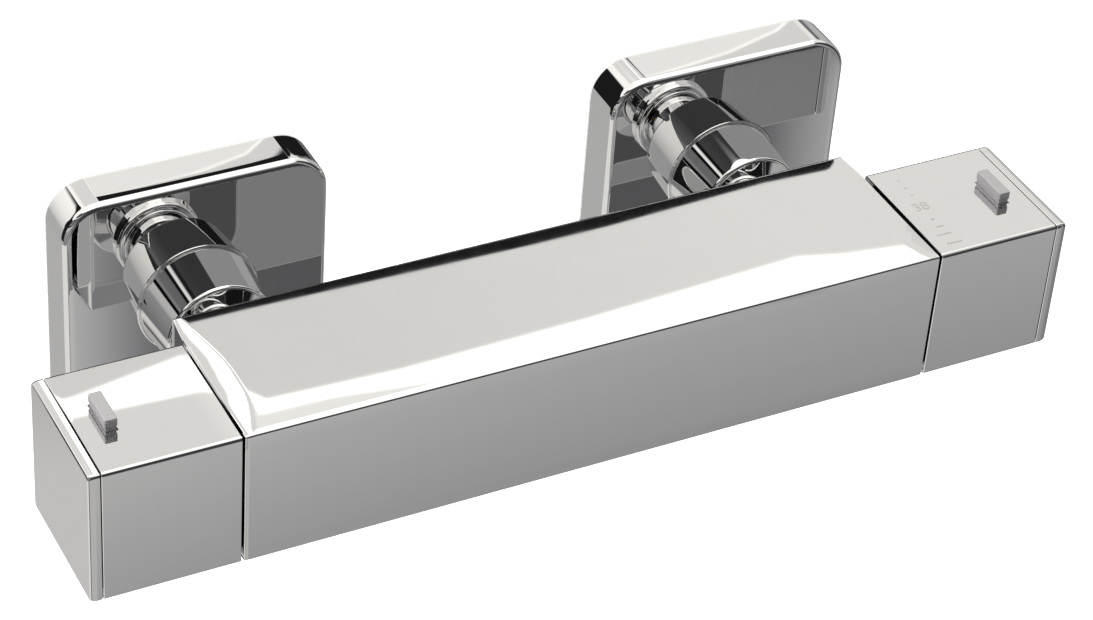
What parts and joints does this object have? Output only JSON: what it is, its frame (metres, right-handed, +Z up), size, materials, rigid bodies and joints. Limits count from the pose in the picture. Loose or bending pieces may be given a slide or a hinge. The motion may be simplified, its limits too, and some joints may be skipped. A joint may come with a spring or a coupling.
{
  "type": "thermostatic shower valve",
  "caption": "Wall-mounted square bar shower mixer with thermostat and flow handles, push-button stops, offset wall unions and square wall plates.",
  "frame": {"origin": "on the finished wall, midway between the two inlets", "axes": "+X along the bar to the temperature handle, +Y into the wall, +Z up"},
  "size_m": [0.2644, 0.107, 0.07],
  "materials": {
    "polished_chrome": "polished chrome plate on brass",
    "turned_brass": "turned, bare",
    "grey_plastic": "moulded ABS, satin grey",
    "white_plastic": "moulded acetal, natural",
    "black_plastic": "moulded PPS, black",
    "stainless_steel": "machined stainless steel",
    "spring_steel": "drawn spring wire",
    "seal_rubber": "moulded EPDM",
    "seal_foam": "cut closed-cell foam",
    "disc_ceramic": "lapped alumina"
  },
  "bodies": {
    "fixed_valve": {"valve_body": "polished_chrome", "thermostat_sleeve": "black_plastic", "thermostat_rings": "seal_rubber", "thermostat_nut": "turned_brass", "return_spring": "spring_steel", "flow_headwork": "turned_brass", "flow_ring": "seal_rubber", "disc_seal": "seal_rubber", "fixed_disc": "disc_ceramic", "temperature_stop_ring": "black_plastic", "flow_stop_ring": "black_plastic", "outlet_nipple": "polished_chrome", "outlet_washer": "seal_rubber", "hot_tail": "polished_chrome", "hot_check_cage": "white_plastic", "hot_check_spring": "spring_steel", "hot_coupling_nut": "polished_chrome", "hot_filter_washer": "seal_rubber", "hot_wall_union": "turned_brass", "hot_wall_plate": "polished_chrome", "hot_wall_plate_seal": "seal_foam", "cold_tail": "polished_chrome", "cold_check_cage": "white_plastic", "cold_check_spring": "spring_steel", "cold_coupling_nut": "polished_chrome", "cold_filter_washer": "seal_rubber", "cold_wall_union": "turned_brass", "cold_wall_plate": "polished_chrome", "cold_wall_plate_seal": "seal_foam"},
    "temperature_knob": {"temperature_handle": "polished_chrome", "temperature_cap": "polished_chrome", "temperature_carrier": "white_plastic", "temperature_screw": "stainless_steel", "temperature_button_spring": "spring_steel", "temperature_spindle": "turned_brass"},
    "flow_knob": {"flow_handle": "polished_chrome", "flow_cap": "polished_chrome", "flow_carrier": "white_plastic", "flow_screw": "stainless_steel", "flow_button_spring": "spring_steel", "flow_spindle": "turned_brass", "turning_disc": "disc_ceramic"},
    "safety_button": {"temperature_button": "grey_plastic"},
    "economy_button": {"flow_button": "grey_plastic"},
    "thermostat_carriage": {"carriage_nut": "white_plastic", "push_cup": "white_plastic", "overtravel_spring": "spring_steel", "wax_element": "turned_brass", "thermostat_shuttle": "white_plastic"},
    "hot_poppet": {"hot_check_poppet": "white_plastic"},
    "cold_poppet": {"cold_check_poppet": "white_plastic"}
  },
  "joints": [
    {"name": "temperature_turn", "type": "hinge", "parent": "fixed_valve", "child": "temperature_knob", "pos_m": [0.0946, -0.07, 0], "axis": [1, 0, 0], "range_deg": [-45, 150]},
    {"name": "flow_turn", "type": "hinge", "parent": "fixed_valve", "child": "flow_knob", "pos_m": [-0.0946, -0.07, 0], "axis": [1, 0, 0], "range_deg": [0, 90]},
    {"name": "safety_button_press", "type": "slide", "parent": "temperature_knob", "child": "safety_button", "axis": [0, 0, -1], "range_m": [0, 0.002], "stiffness_N_per_m": 500, "springref_m": -0.002, "deforming": ["temperature_button_spring"]},
    {"name": "economy_button_press", "type": "slide", "parent": "flow_knob", "child": "economy_button", "axis": [0, 0, -1], "range_m": [0, 0.002], "stiffness_N_per_m": 500, "springref_m": -0.002, "deforming": ["flow_button_spring"]},
    {"name": "thermostat_slide", "type": "slide", "parent": "fixed_valve", "child": "thermostat_carriage", "axis": [1, 0, 0], "range_m": [-0.0013, 0.0005], "deforming": ["return_spring"]},
    {"name": "hot_check_lift", "type": "slide", "parent": "fixed_valve", "child": "hot_poppet", "axis": [0, -1, 0], "range_m": [0, 0.0025], "stiffness_N_per_m": 200, "springref_m": -0.002, "deforming": ["hot_check_spring"]},
    {"name": "cold_check_lift", "type": "slide", "parent": "fixed_valve", "child": "cold_poppet", "axis": [0, -1, 0], "range_m": [0, 0.0025], "stiffness_N_per_m": 200, "springref_m": -0.002, "deforming": ["cold_check_spring"]}
  ],
  "couplings": [
    {"joint": "thermostat_slide", "follows": "temperature_turn", "m_per_rad": -0.00047746}
  ]
}
